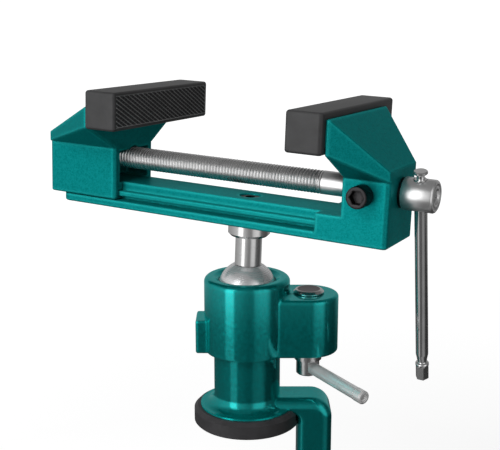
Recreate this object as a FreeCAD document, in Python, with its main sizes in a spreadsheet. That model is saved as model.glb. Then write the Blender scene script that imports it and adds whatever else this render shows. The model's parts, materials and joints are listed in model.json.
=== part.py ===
"""Ball-joint bench vise with a screw clamp for the table edge.

Millimetres, +Z up.  The origin is the centre of the base pad's underside, where it rests on the
table.  +X points over the table edge, towards the ear of the ball socket and the C-shaped frame.
The vise head is modelled about the ball's centre, with its beam along X, and is then turned and
leaned on the ball as one group.
"""

import FreeCAD, Part
import math
import os
import re
import Sketcher

# Driving dimensions -----------------------------------------------------------------------------

SIZES = {
    # fits, and how far a cutting tool reaches past what it cuts
    "fit_gap": 0.05,
    "run_gap": 0.1,
    "slide_gap": 0.3,
    "overshoot": 1.0,
    # ball joint
    "ball_radius": 13.0,
    "ball_height": 61.5,
    "ball_gap": 0.3,
    "mouth_rise": 4.5,
    "head_angle": -28.3,
    "lean_angle": 2.0,
    # socket housing
    "housing_radius": 19.0,
    "housing_low": 33.5,
    "rim_rise": 5.9,
    "housing_rounding": 2.2,
    "housing_edge": 1.0,
    "housing_join": 1.6,
    "mouth_flare": 14.8,
    "seat_drop": 16.5,
    "ear_reach": 27.3,
    "ear_radius": 13.2,
    "ear_drop": 1.8,
    "ear_rounding": 1.4,
    "lug_reach": 22.7,
    "lug_width": 14.0,
    "lug_drop": 12.7,
    "lug_rounding": 1.0,
    "set_screw_radius": 2.5,
    "set_screw_depth": 0.3,
    "set_screw_bite": 1.3,
    "set_screw_socket": 2.5,
    "set_screw_socket_depth": 2.0,
    # column and C-shaped frame
    "column_radius": 14.8,
    "flange_radius": 21.0,
    "flange_top": 8.4,
    "flange_fillet": 5.0,
    "frame_width": 20.0,
    "arm_under": 5.0,
    "arm_top": 12.6,
    "leg_inner": 22.6,
    "leg_outer": 38.0,
    "shoulder_radius": 9.0,
    "throat": 67.5,
    "boss_height": 16.0,
    "boss_radius": 11.0,
    "corner_radius": 14.0,
    "inner_radius": 5.0,
    "throat_radius": 2.5,
    "frame_rounding": 4.2,
    "frame_inner_rounding": 3.2,
    "boss_rounding": 1.2,
    # base pad
    "ring_radius": 23.9,
    "ring_height": 7.6,
    "ring_floor": 2.0,
    "ring_bevel": 1.6,
    "ring_edge": 0.6,
    # table clamp
    "board": 40.0,
    "clamp_radius": 5.0,
    "clamp_pin": 3.5,
    "clamp_travel": 30.5,
    "clamp_head_radius": 7.5,
    "clamp_head_height": 13.0,
    "clamp_bevel": 1.0,
    "clamp_shoulder": 1.5,
    "foot_radius": 12.5,
    "foot_height": 5.5,
    "foot_skin": 1.5,
    "foot_socket": 3.5,
    "foot_boss": 3.0,
    "foot_edge": 1.8,
    "foot_inset": 0.5,
    "clamp_bar_radius": 3.0,
    "clamp_bar_length": 76.0,
    "knob_radius": 5.0,
    "knob_length": 7.0,
    "knob_edge": 1.0,
    "knob_crown": 1.5,
    # locking lever
    "pin_radius": 4.9,
    "cam_radius": 4.3,
    "cam_throw": 0.4,
    "cap_radius": 6.75,
    "cap_height": 1.6,
    "shoe_radius": 3.5,
    "shoe_drop": 7.0,
    "shoe_land": 0.5,
    "hub_flange_radius": 6.1,
    "hub_flange_height": 4.2,
    "hub_radius": 5.2,
    "hub_height": 7.0,
    "hub_flat": 4.4,
    "hub_edge": 0.5,
    "tail_radius": 3.0,
    "lever_radius": 2.75,
    "lever_length": 37.5,
    "lever_angle": -60.4,
    "lever_spigot_radius": 1.9,
    "lever_spigot_length": 2.5,
    "tip_length": 5.5,
    "tip_proud": 0.15,
    "tip_lead": 0.4,
    "tip_bevel": 0.7,
    "tip_groove": 0.6,
    "tip_groove_depth": 0.35,
    "tip_recess": 0.8,
    "tip_recess_radius": 1.5,
    # ball stud
    "neck_radius": 5.85,
    "neck_start": 11.3,
    "shank_depth": 6.0,
    "collar_radius": 9.2,
    "collar_height": 6.5,
    "collar_bevel": 1.2,
    "shank_radius": 4.0,
    "spigot_height": 3.0,
    "stud_screw_radius": 2.5,
    "stud_screw_head": 4.25,
    "stud_screw_head_height": 5.0,
    "stud_screw_reach": 10.0,
    "stud_screw_socket": 4.0,
    "stud_screw_socket_depth": 2.5,
    "counterbore_radius": 4.8,
    "counterbore_depth": 5.6,
    # beam and fixed jaw
    "beam_rise": 31.0,
    "beam_width": 30.0,
    "beam_left": 90.5,
    "beam_flange": 3.4,
    "rail_groove": 1.8,
    "rail_lip": 2.1,
    "rail_crown": 3.8,
    "rail_lip_width": 24.0,
    "rail_crown_width": 18.0,
    "rail_end": 37.6,
    "wall_start": 48.8,
    "beam_end": 68.5,
    "wall_top": 57.9,
    "wedge_low": 62.3,
    "fixed_wedge_high": 84.0,
    "moving_wedge_high": 78.6,
    "wedge_side_low": 69.5,
    "fixed_inset_near": 2.0,
    "fixed_inset_far": 11.0,
    "moving_inset_near": 1.0,
    "moving_inset_far": 3.5,
    "bar_step": 1.5,
    "end_rounding": 4.0,
    "casting_edge": 0.8,
    "casting_corner": 1.8,
    # jaw caps
    "jaw_width": 75.0,
    "jaw_low": 69.0,
    "jaw_high": 85.4,
    "jaw_depth": 15.6,
    "cap_skin": 3.0,
    "cap_rounding": 1.3,
    "cap_shoulder": 1.8,
    # moving jaw
    "jaw_opening": 78.4,
    "saddle_length": 36.4,
    "hollow_depth": 12.0,
    "hollow_wall": 3.7,
    "hollow_top": 56.4,
    "nut_radius": 8.0,
    "nut_length": 14.0,
    "way_gap": 0.6,
    # spindle
    "spindle_rise": 52.0,
    "spindle_radius": 5.0,
    "spindle_left": 87.0,
    "spindle_lead": 1.0,
    "lock_place": 57.8,
    "lock_groove": 5.4,
    "lock_groove_radius": 4.0,
    "lock_point_radius": 2.5,
    "lock_head_radius": 4.5,
    "lock_head_height": 7.5,
    "lock_head_edge": 0.4,
    "lock_socket": 5.0,
    "lock_socket_depth": 3.5,
    "washer_radius": 6.3,
    "washer_height": 0.8,
    "spindle_head_radius": 6.75,
    "spindle_head_length": 13.2,
    "spindle_head_bevel": 0.9,
    "spindle_socket": 5.0,
    "spindle_socket_depth": 3.0,
    "face_groove_inner": 4.3,
    "face_groove_outer": 5.1,
    "face_groove_depth": 0.4,
    # tommy bar
    "bar_radius": 2.65,
    "bar_gap": 0.15,
    "bar_above": 6.9,
    "bar_below": 74.5,
    "bar_neck_radius": 1.9,
    "bar_neck_length": 4.0,
    "bar_flange_radius": 3.05,
    "bar_flange_height": 1.6,
    "bar_hex": 5.0,
    "bar_hex_length": 6.6,
    "bar_spigot_radius": 1.6,
    "bar_spigot_length": 3.0,
    "bar_cap_place": 9.0,
    "bar_cap_radius": 2.95,
    "bar_cap_height": 1.4,
    "bar_cap_bevel": 0.4,
    "bar_angle": 14.0,
}

# Lengths that follow from the driving ones

RULES = {
    # ball joint and its housing
    "cup_radius": "ball_radius + ball_gap",
    "mouth_radius": "sqrt(cup_radius^2 - mouth_rise^2)",
    "housing_top": "ball_height + rim_rise",
    "seat_shelf": "ball_height - seat_drop",
    "ear_top": "ball_height - ear_drop",
    "lug_top": "ball_height - lug_drop",
    "set_screw_height": "(housing_low + seat_shelf) / 2",
    # locking lever
    "shoe_height": "ball_height - shoe_drop",
    "cam_low": "shoe_height - shoe_radius - shoe_land",
    "cam_high": "shoe_height + shoe_radius + shoe_land",
    "cap_seat": "ear_top + slide_gap",
    "hub_top": "housing_low - slide_gap",
    "hub_shoulder": "hub_top - hub_flange_height",
    "hub_low": "hub_shoulder - hub_height",
    "lever_level": "hub_low + hub_height / 2",
    "tip_radius": "lever_radius + tip_proud",
    "tip_end": "lever_length + tip_length",
    # ball stud
    "stud_seat": "neck_start + slide_gap",
    "collar_low": "beam_rise - collar_height",
    "stud_screw_low": "beam_rise - stud_screw_reach",
    "stud_screw_seat": "rail_top - counterbore_depth",
    # beam and jaws
    "half_beam": "beam_width / 2",
    "half_jaw": "jaw_width / 2",
    "half_crown": "rail_crown_width / 2",
    "half_lip": "rail_lip_width / 2",
    "flange_high": "beam_rise + beam_flange",
    "groove_top": "flange_high + rail_groove",
    "lip_top": "groove_top + rail_lip",
    "rail_top": "lip_top + rail_crown",
    "fixed_near": "half_jaw - fixed_inset_near",
    "fixed_far": "half_jaw - fixed_inset_far",
    "moving_near": "half_jaw - moving_inset_near",
    "moving_far": "half_jaw - moving_inset_far",
    "bar_low": "jaw_low + cap_skin",
    "fixed_face": "wall_start - jaw_depth",
    "moving_face": "fixed_face - jaw_opening",
    "moving_wall": "moving_face - jaw_depth",
    "moving_back": "moving_wall - saddle_length",
    "nut_start": "moving_wall - hollow_depth - nut_length",
    # spindle and tommy bar
    "groove_start": "lock_place - lock_groove / 2",
    "groove_end": "lock_place + lock_groove / 2",
    "head_start": "beam_end + washer_height + slide_gap",
    "head_end": "head_start + spindle_head_length",
    "bar_place": "head_start + spindle_head_length / 2",
    "bar_neck_low": "-bar_below - bar_neck_length",
    "bar_flange_low": "bar_neck_low - bar_flange_height",
    "bar_cap_top": "bar_cap_place + bar_cap_height",
    # table clamp
    "boss_low": "-throat - boss_height",
    "foot_low": "-board - foot_height",
    "foot_top": "-board - foot_skin",
    "clamp_shoulder_low": "foot_low - clamp_shoulder",
    "clamp_pin_end": "foot_low + foot_socket - run_gap",
    "clamp_head_top": "boss_low - clamp_travel",
    "clamp_head_low": "clamp_head_top - clamp_head_height",
    "clamp_bar_level": "clamp_head_top - clamp_head_height / 2",
}

doc = FreeCAD.newDocument("ball_joint_vise")
sheet = doc.addObject("Spreadsheet::Sheet", "sizes")
for row, (alias, value) in enumerate(SIZES.items(), start=1):
    sheet.set("A%d" % row, alias)
    sheet.set("B%d" % row, str(value))
    sheet.setAlias("B%d" % row, alias)
doc.recompute()

# Helpers ----------------------------------------------------------------------------------------

WORD = re.compile(r"[a-z][a-z_]+[a-z]")
EDGE_MATCH = 0.01
PARALLEL_MATCH = 1e-6
TURN = {
    "X": FreeCAD.Rotation(FreeCAD.Vector(0, 1, 0), 90),
    "Y": FreeCAD.Rotation(FreeCAD.Vector(1, 0, 0), -90),
    "Z": FreeCAD.Rotation(),
}
CENTRE = ("0", "0", "0")
PARTS = {}


def rule(text):
    """An expression in which the names of sizes point at the sheet, and other rules are spelled out."""
    def spelled(found):
        word = found.group()
        if word in RULES:
            return "(%s)" % rule(RULES[word])
        return "sizes." + word if word in SIZES else word
    return WORD.sub(spelled, text)


def size(text):
    """The number that a name or a rule stands for."""
    return float(sheet.evalExpression(rule(text)))


def bind(thing, **rules):
    """Bind properties to expressions; an underscore in a name stands for a dot."""
    for name, text in rules.items():
        thing.setExpression(name.replace("_", "."), rule(text))
    return thing


def at(thing, place):
    """Bind where a primitive or a body stands."""
    return bind(thing, Placement_Base_x=place[0], Placement_Base_y=place[1],
                Placement_Base_z=place[2])


def rod(name, radius, length, start=CENTRE, along="Z"):
    thing = doc.addObject("Part::Cylinder", name)
    thing.Placement = FreeCAD.Placement(FreeCAD.Vector(), TURN[along])
    return at(bind(thing, Radius=radius, Height=length), start)


def block(name, lows, highs):
    thing = doc.addObject("Part::Box", name)
    spans = ["(%s) - (%s)" % (high, low) for low, high in zip(lows, highs)]
    return at(bind(thing, Length=spans[0], Width=spans[1], Height=spans[2]), lows)


def sphere(name, radius, start=CENTRE):
    return at(bind(doc.addObject("Part::Sphere", name), Radius=radius), start)


def prism(name, flats, length, start=CENTRE):
    """An upright hexagonal prism with the given distance across its flats."""
    thing = doc.addObject("Part::Prism", name)
    thing.Polygon = 6
    return at(bind(thing, Circumradius="(%s) / 2 / cos(30)" % flats, Height=length), start)


def fuse(name, *pieces):
    thing = doc.addObject("Part::MultiFuse", name)
    thing.Shapes = list(pieces)
    thing.Refine = True
    return thing


def cut(name, base, *tools):
    thing = doc.addObject("Part::Cut", name)
    thing.Base = base
    thing.Tool = tools[0] if len(tools) == 1 else fuse(name + "_tools", *tools)
    thing.Refine = True
    return thing


def common(name, *pieces):
    """What several pieces share."""
    thing = doc.addObject("Part::MultiCommon", name)
    thing.Shapes = list(pieces)
    thing.Refine = True
    return thing


def outline(body, plane, corners, offset=None):
    """A closed outline of straight edges, each corner bound across and up."""
    sketch = body.newObject("Sketcher::SketchObject", body.Name + "_outline")
    planes = [part for part in body.Origin.OriginFeatures if part.Role == plane + "_Plane"]
    sketch.AttachmentSupport = [(planes[0], "")]
    sketch.MapMode = "FlatFace"
    if offset:
        bind(sketch, AttachmentOffset_Base_z=offset)
    count = len(corners)
    ring = [FreeCAD.Vector(math.cos(2 * math.pi * k / count), math.sin(2 * math.pi * k / count), 0)
            for k in range(count)]
    for k in range(count):
        sketch.addGeometry(Part.LineSegment(ring[k], ring[(k + 1) % count]), False)
    for k in range(count):
        sketch.addConstraint(Sketcher.Constraint("Coincident", k, 2, (k + 1) % count, 1))
    for k, (across, up) in enumerate(corners):
        for kind, start, text in (("DistanceX", ring[k].x, across), ("DistanceY", ring[k].y, up)):
            index = sketch.addConstraint(Sketcher.Constraint(kind, -1, 1, k, 1, start))
            sketch.setExpression("Constraints[%d]" % index, rule(text))
    return sketch


def turned(name, corners):
    """A body turned about Z from an outline of (radius, height) corners."""
    body = doc.addObject("PartDesign::Body", name)
    sketch = outline(body, "XZ", corners)
    feature = body.newObject("PartDesign::Revolution", name + "_turn")
    feature.Profile = sketch
    feature.ReferenceAxis = (sketch, ["V_Axis"])
    feature.Angle = 360
    return body


def padded(name, plane, corners, length, offset=None, midplane=False):
    """A body extruded from an outline, along the plane's normal or to both sides of it."""
    body = doc.addObject("PartDesign::Body", name)
    sketch = outline(body, plane, corners, offset)
    feature = body.newObject("PartDesign::Pad", name + "_pad")
    feature.Profile = sketch
    feature.Midplane = midplane
    bind(feature, Length=length)
    return body


def edges(thing, wanted):
    """Numbers of the edges of a thing for which wanted(edge) holds."""
    doc.recompute()
    return [k for k, edge in enumerate(thing.Shape.Edges, start=1) if wanted(edge)]


def rounded(name, base, radius, wanted):
    thing = doc.addObject("Part::Fillet", name)
    thing.Base = base
    thing.Edges = [(k, size(radius), size(radius)) for k in edges(base, wanted)]
    return thing


def near(a, b):
    return abs(a - b) < EDGE_MATCH


def runs(edge, axis):
    """True if a straight edge runs along the axis 'X', 'Y' or 'Z'."""
    if not isinstance(edge.Curve, Part.Line):
        return False
    return abs(abs(getattr(edge.Curve.Direction, axis.lower())) - 1) < PARALLEL_MATCH


def lies(edge, **places):
    """True if the middle of an edge is at the given places, such as x='beam_end' or y='half_beam'.

    A place across the object, y, counts on both of its sides.
    """
    middle = edge.CenterOfMass
    across = "y" not in places or near(abs(middle.y), size(places["y"]))
    return across and all(near(getattr(middle, axis), size(text))
                          for axis, text in places.items() if axis != "y")


def level(edge, height):
    """True if a whole edge lies at one height."""
    return near(edge.BoundBox.ZMin, size(height)) and near(edge.BoundBox.ZMax, size(height))


def mirrored(corners):
    """The corners of one side, from low to high, and the same on the other side."""
    return corners + [("-(%s)" % across, up) for across, up in reversed(corners)]


def settle(thing, label, frame=None):
    """Give a finished sub-part its name and its place."""
    thing.Label = label
    if frame:
        thing.Placement = frame
    PARTS[label] = thing
    return thing


# Frames -----------------------------------------------------------------------------------------


def place(x, y, z, rotation=TURN["Z"]):
    """A placement from three rules and a rotation."""
    return FreeCAD.Placement(FreeCAD.Vector(size(x), size(y), size(z)), rotation)


def spin(axis, angle):
    return FreeCAD.Rotation(FreeCAD.Vector(*axis), size(angle))


HEAD = place("0", "0", "ball_height", spin((0, 1, 0), "lean_angle") * spin((0, 0, 1), "head_angle"))
SPINDLE = HEAD * place("0", "0", "spindle_rise", spin((1, 0, 0), "bar_angle") * TURN["X"])
TOMMY = HEAD * place("bar_place", "0", "spindle_rise", spin((1, 0, 0), "bar_angle"))
LOCK = HEAD * place("lock_place", "-half_beam - lock_head_height", "spindle_rise", TURN["Y"])
PIN = place("ear_reach", "0", "0", spin((0, 0, 1), "lever_angle"))

# Column and C-shaped frame ----------------------------------------------------------------------

column = rounded("column_fillet", turned("column", [
    ("0", "ring_floor"),
    ("flange_radius - fit_gap", "ring_floor"),
    ("flange_radius - fit_gap", "flange_top"),
    ("column_radius", "flange_top"),
    ("column_radius", "seat_shelf"),
    ("0", "seat_shelf"),
]), "flange_fillet", lambda edge: (
    level(edge, "flange_top") and near(edge.Curve.Radius, size("column_radius"))))
c_frame = padded("c_frame", "XZ", [
    ("0", "arm_under"),
    ("leg_inner", "arm_under"),
    ("leg_inner", "-throat"),
    ("0", "-throat"),
    ("0", "boss_low"),
    ("leg_outer", "boss_low"),
    ("leg_outer", "arm_top"),
    ("0", "arm_top"),
], "frame_width", midplane=True)
for corner, radius, x, z in (
        ("shoulder", "shoulder_radius", "leg_outer", "arm_top"),
        ("heel", "corner_radius", "leg_outer", "boss_low"),
        ("throat_low", "inner_radius", "leg_inner", "-throat"),
        ("throat_high", "throat_radius", "leg_inner", "arm_under")):
    c_frame = rounded("c_" + corner, c_frame, radius,
                      lambda edge: runs(edge, "Y") and lies(edge, x=x, z=z))
c_frame = rounded("c_outside", c_frame, "frame_rounding",
                  lambda edge: runs(edge, "Z") and lies(edge, x="leg_outer"))
c_frame = rounded("c_inside", c_frame, "frame_inner_rounding",
                  lambda edge: runs(edge, "Z") and lies(edge, x="leg_inner"))
boss = rounded("clamp_boss", rod("clamp_boss_blank", "boss_radius", "boss_height", ("0", "0", "boss_low")),
               "boss_rounding", lambda edge: isinstance(edge.Curve, Part.Circle))
settle(cut("column_frame", fuse("casting", column, c_frame, boss),
           rod("clamp_bore", "clamp_radius + run_gap", "boss_height + 2 * overshoot",
               ("0", "0", "boss_low - overshoot")),
           rod("set_screw_seat", "set_screw_radius + fit_gap", "overshoot + set_screw_bite + slide_gap",
               ("-column_radius - overshoot", "0", "set_screw_height"), "X")),
       "column_frame")

# Base pad ----------------------------------------------------------------------------------------

pad_ring = turned("base_pad_ring", [
    ("0", "0"),
    ("ring_radius - ring_edge", "0"),
    ("ring_radius", "ring_edge"),
    ("ring_radius", "ring_height - ring_bevel"),
    ("ring_radius - ring_bevel", "ring_height"),
    ("flange_radius", "ring_height"),
    ("flange_radius", "ring_floor"),
    ("0", "ring_floor"),
])
settle(cut("base_pad_body", pad_ring,
           block("pad_notch", ("0", "-frame_width / 2 - fit_gap",
                              "arm_under - throat_radius - fit_gap"),
                 ("leg_outer", "frame_width / 2 + fit_gap", "flange_top")),
           block("pad_flat", ("leg_inner - fit_gap", "-ring_radius", "-overshoot"),
                 ("leg_outer", "ring_radius", "flange_top"))),
       "base_pad")

# Socket housing ---------------------------------------------------------------------------------

sleeve = rounded("sleeve_rim", rod("sleeve", "housing_radius", "housing_top - housing_low",
                                   ("0", "0", "housing_low")),
                 "housing_rounding", lambda edge: level(edge, "housing_top"))
ear = rounded("ear_rim",
              fuse("ear",
                   rod("ear_end", "ear_radius", "ear_top - housing_low", ("ear_reach", "0", "housing_low")),
                   block("ear_web", ("0", "-ear_radius", "housing_low"),
                         ("ear_reach", "ear_radius", "ear_top"))),
              "ear_rounding", lambda edge: level(edge, "ear_top") and not near(edge.BoundBox.XMax, 0))
lug = rounded("lug", block("lug_blank", ("-lug_reach", "-lug_width / 2", "housing_low - overshoot"),
                           ("0", "lug_width / 2", "lug_top")),
              "lug_rounding", lambda edge: near(edge.BoundBox.XMax, -size("lug_reach")))
shell = fuse("housing_shell", sleeve, ear,
             cut("lug_trimmed", lug,
                 block("lug_under", ("-2 * lug_reach", "-lug_width", "housing_low - 2 * overshoot"),
                       ("overshoot", "lug_width", "housing_low"))))
shell = rounded("housing_joins", shell, "housing_join", lambda edge: (
    runs(edge, "Z") and lies(edge, y="ear_radius")
    and near(edge.CenterOfMass.x, size("sqrt(housing_radius^2 - ear_radius^2)"))))
shell = rounded("housing_foot", shell, "housing_edge", lambda edge: level(edge, "housing_low"))
mouth = turned("mouth", [
    ("0", "ball_height"),
    ("mouth_radius", "ball_height"),
    ("mouth_radius", "ball_height + mouth_rise"),
    ("mouth_flare", "housing_top"),
    ("mouth_flare", "housing_top + overshoot"),
    ("0", "housing_top + overshoot"),
])
settle(cut("socket_housing", shell,
           mouth,
           sphere("socket", "cup_radius", ("0", "0", "ball_height")),
           rod("socket_bore", "cup_radius", "ball_height - seat_shelf", ("0", "0", "seat_shelf")),
           rod("column_bore", "column_radius + fit_gap", "seat_shelf - housing_low + overshoot",
               ("0", "0", "housing_low - overshoot")),
           rod("pin_bore", "pin_radius + run_gap", "ear_top - housing_low + 2 * overshoot",
               ("ear_reach", "0", "housing_low - overshoot")),
           rod("shoe_bore", "shoe_radius + run_gap", "ear_reach", ("0", "0", "shoe_height"), "X"),
           rod("set_screw_bore", "set_screw_radius + fit_gap", "lug_reach",
               ("-lug_reach - overshoot", "0", "set_screw_height"), "X")),
       "socket_housing")

settle(cut("set_screw_body",
           rod("set_screw_rod", "set_screw_radius",
               "lug_reach - set_screw_depth - column_radius + set_screw_bite"),
           prism("set_screw_hex", "set_screw_socket", "set_screw_socket_depth")),
       "housing_set_screw", place("set_screw_depth - lug_reach", "0", "set_screw_height", TURN["X"]))

# Ball seat and ball -----------------------------------------------------------------------------

settle(cut("ball_seat_body",
           rod("seat_blank", "ball_radius", "cam_low - seat_shelf - slide_gap",
               ("0", "0", "seat_shelf + slide_gap")),
           sphere("seat_cup", "cup_radius", ("0", "0", "ball_height"))),
       "ball_seat")

settle(cut("ball_body",
           sphere("ball_blank", "ball_radius"),
           block("ball_flat", ("-ball_radius", "-ball_radius", "neck_start"),
                 ("ball_radius", "ball_radius", "ball_radius + overshoot")),
           rod("ball_bore", "shank_radius + run_gap", "shank_depth + neck_start + overshoot",
               ("0", "0", "-shank_depth"))),
       "ball", HEAD)

# Ball stud and its screw ------------------------------------------------------------------------

stud = turned("stud", [
    ("0", "slide_gap - shank_depth"),
    ("shank_radius", "slide_gap - shank_depth"),
    ("shank_radius", "stud_seat"),
    ("neck_radius", "stud_seat"),
    ("neck_radius", "collar_low"),
    ("collar_radius - collar_bevel", "collar_low"),
    ("collar_radius", "collar_low + collar_bevel"),
    ("collar_radius", "beam_rise"),
    ("shank_radius", "beam_rise"),
    ("shank_radius", "beam_rise + spigot_height"),
    ("0", "beam_rise + spigot_height"),
])
settle(cut("stud_body", stud,
           rod("stud_tapping", "stud_screw_radius + fit_gap",
               "stud_screw_reach + spigot_height + 2 * overshoot",
               ("0", "0", "stud_screw_low - overshoot"))),
       "ball_stud", HEAD)

settle(cut("stud_screw_body",
           fuse("stud_screw_blank",
                rod("stud_screw_shank", "stud_screw_radius", "stud_screw_seat - stud_screw_low",
                    ("0", "0", "stud_screw_low")),
                rod("stud_screw_cap", "stud_screw_head", "stud_screw_head_height",
                    ("0", "0", "stud_screw_seat"))),
           prism("stud_screw_hex", "stud_screw_socket", "stud_screw_socket_depth + overshoot",
                 ("0", "0", "stud_screw_seat + stud_screw_head_height - stud_screw_socket_depth"))),
       "stud_screw", HEAD)

# Beam with the fixed jaw ------------------------------------------------------------------------


def wedge(name, front, back, high, near_side, far_side):
    """The head of a jaw: nearly as wide as its cap in front, as narrow as its block behind."""
    thickness = "abs(%s - (%s))" % (back, front)
    near_reach, far_reach = ["(%s + (%s - half_beam) * overshoot / (%s))" % (side, side, thickness)
                             for side in (near_side, far_side)]
    rise = "(%s + (%s - wedge_low) * overshoot / (%s))" % (high, high, thickness)
    ahead = "%s %s overshoot" % (front, "-" if size(front) < size(back) else "+")
    flare = padded(name + "_flare", "YZ", [
        ("half_beam", "wall_top"),
        (far_side, "wedge_side_low"),
        (far_side, rise),
        ("-" + near_side, rise),
        ("-" + near_side, "wedge_side_low"),
        ("-half_beam", "wall_top"),
    ], thickness, offset="min(%s; %s)" % (front, back))
    plan = padded(name + "_plan", "XY", [
        (ahead, far_reach), (back, "half_beam"), (back, "-half_beam"), (ahead, "-" + near_reach),
    ], "jaw_width", offset="beam_rise")
    slope = padded(name + "_slope", "XZ", [
        (ahead, rise), (back, "wedge_low"), (back, "wall_top"), (ahead, "wall_top"),
    ], "2 * jaw_width", midplane=True)
    return common(name, flare, plan, slope)


def jaw_bar(name, start, end, high, near_side, far_side, gap="0"):
    """The bar inside a jaw cap, or with a gap the room for it, standing inside the jaw's head."""
    return block(name, (start, "bar_step - %s - %s" % (near_side, gap), "bar_low - %s" % gap),
                 (end, "%s - bar_step + %s" % (far_side, gap), "%s - bar_step + %s" % (high, gap)))


rail = padded("rail", "YZ", mirrored([
    ("half_beam", "beam_rise"),
    ("half_beam", "flange_high"),
    ("half_crown", "flange_high"),
    ("half_crown", "groove_top"),
    ("half_lip", "groove_top"),
    ("half_lip", "lip_top"),
    ("half_crown", "lip_top"),
    ("half_crown", "rail_top"),
]), "beam_left + rail_end", offset="-beam_left")
rail = rounded("rail_left_end", rail, "end_rounding", lambda edge: (
    runs(edge, "Z") and near(edge.CenterOfMass.x, -size("beam_left"))
    and near(abs(edge.CenterOfMass.y), size("half_beam"))))
rail = rounded("rail_foot", rail, "casting_edge", lambda edge: (
    level(edge, "beam_rise") and not near(edge.BoundBox.XMin, size("rail_end"))))
beam_end = fuse("beam_end_block",
                block("beam_root", ("rail_end", "-half_beam", "beam_rise"),
                      ("beam_end", "half_beam", "rail_top")),
                block("beam_wall", ("wall_start", "-half_beam", "beam_rise"),
                      ("beam_end", "half_beam", "wall_top")))
beam_end = rounded("beam_end_corners", beam_end, "casting_corner", lambda edge: (
    runs(edge, "Z") and lies(edge, x="beam_end", y="half_beam")))
beam_end = rounded("beam_end_edges", beam_end, "casting_edge", lambda edge: (
    level(edge, "beam_rise") and edge.BoundBox.XMax > size("wall_start")))
FIXED_HEAD = ("fixed_wedge_high", "fixed_near", "fixed_far")
fixed_wedge = rounded("fixed_wedge_edges",
                      wedge("fixed_wedge", "wall_start", "beam_end", *FIXED_HEAD),
                      "casting_edge", lambda edge: edge.BoundBox.ZMax > size("wall_top + overshoot"))
settle(cut("beam_body",
           fuse("beam_blank", rail, beam_end, fixed_wedge,
                jaw_bar("fixed_bar", "fixed_face + cap_skin", "wall_start", *FIXED_HEAD)),
           rod("spindle_bore", "spindle_radius + run_gap", "beam_end",
               ("rail_end", "0", "spindle_rise"), "X"),
           rod("lock_bore", "lock_point_radius + fit_gap", "half_beam",
               ("lock_place", "-half_beam - overshoot", "spindle_rise"), "Y"),
           rod("spigot_bore", "shank_radius + fit_gap", "spigot_height + fit_gap",
               ("0", "0", "beam_rise")),
           rod("stud_screw_bore", "stud_screw_radius + slide_gap", "beam_width", ("0", "0", "beam_rise")),
           rod("counterbore", "counterbore_radius", "counterbore_depth + overshoot",
               ("0", "0", "stud_screw_seat"))),
       "jaw_beam", HEAD)


def jaw_cap(name, face, wall, *head):
    """A soft cap over a jaw bar, from its gripping face to the wall that it is open towards."""
    low, high = (face, wall) if size(face) < size(wall) else (wall, face)
    outer = block(name + "_outer", (low, "-half_jaw", "jaw_low"), (high, "half_jaw", "jaw_high"))
    outer = rounded(name + "_shoulders", outer, "cap_shoulder",
                    lambda edge: runs(edge, "Z") and lies(edge, x=wall))
    outer = rounded(name + "_edges", outer, "cap_rounding", lambda edge: (
        edge.BoundBox.ZMax - edge.BoundBox.ZMin < EDGE_MATCH or lies(edge, x=face)))
    if low == wall:
        start, end = low + " - overshoot", high + " - cap_skin + fit_gap"
    else:
        start, end = low + " + cap_skin - fit_gap", high + " + overshoot"
    inner = jaw_bar(name + "_inner", start, end, *head, "fit_gap")
    return cut(name, outer, inner)


settle(jaw_cap("fixed_cap", "fixed_face", "wall_start - fit_gap", *FIXED_HEAD), "fixed_jaw_cap", HEAD)

# Moving jaw -------------------------------------------------------------------------------------

saddle = padded("saddle", "YZ", mirrored([
    ("half_beam", "wall_top"),
    ("half_beam", "flange_high + slide_gap"),
    ("half_crown + slide_gap", "flange_high + slide_gap"),
    ("half_crown + slide_gap", "groove_top - slide_gap"),
    ("half_lip + slide_gap", "groove_top - slide_gap"),
    ("half_lip + slide_gap", "lip_top + slide_gap"),
    ("half_crown + slide_gap", "lip_top + slide_gap"),
    ("half_crown + slide_gap", "rail_top + slide_gap"),
]), "saddle_length", offset="moving_back")
saddle = rounded("saddle_corners", saddle, "casting_corner", lambda edge: (
    runs(edge, "Z") and near(abs(edge.CenterOfMass.y), size("half_beam"))))
saddle = rounded("saddle_foot", saddle, "casting_edge", lambda edge: (
    runs(edge, "X") and level(edge, "flange_high + slide_gap")
    and near(abs(edge.CenterOfMass.y), size("half_beam"))))
MOVING_HEAD = ("moving_wedge_high", "moving_near", "moving_far")
moving_wedge = rounded("moving_wedge_edges",
                       wedge("moving_wedge", "moving_wall", "moving_back", *MOVING_HEAD),
                       "casting_edge", lambda edge: edge.BoundBox.ZMax > size("wall_top + overshoot"))
settle(cut("moving_body",
           fuse("moving_blank", saddle, moving_wedge,
                jaw_bar("moving_bar", "moving_wall", "moving_face - cap_skin", *MOVING_HEAD)),
           block("moving_hollow",
                 ("moving_wall - hollow_depth", "-half_beam + hollow_wall", "rail_top"),
                 ("moving_wall + overshoot", "half_beam - hollow_wall", "hollow_top")),
           rod("nut_bore", "nut_radius + fit_gap", "nut_length", ("nut_start", "0", "spindle_rise"), "X"),
           rod("spindle_way", "spindle_radius + way_gap", "saddle_length + 2 * overshoot",
               ("moving_back - overshoot", "0", "spindle_rise"), "X")),
       "moving_jaw", HEAD)
settle(jaw_cap("moving_cap", "moving_face", "moving_wall + fit_gap", *MOVING_HEAD), "moving_jaw_cap", HEAD)

settle(cut("nut_body",
           rod("nut_blank", "nut_radius", "nut_length", ("nut_start", "0", "spindle_rise"), "X"),
           rod("nut_thread", "spindle_radius + run_gap", "nut_length + 2 * overshoot",
               ("nut_start - overshoot", "0", "spindle_rise"), "X")),
       "spindle_nut", HEAD)

# Spindle, washer and locking screw --------------------------------------------------------------

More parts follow.
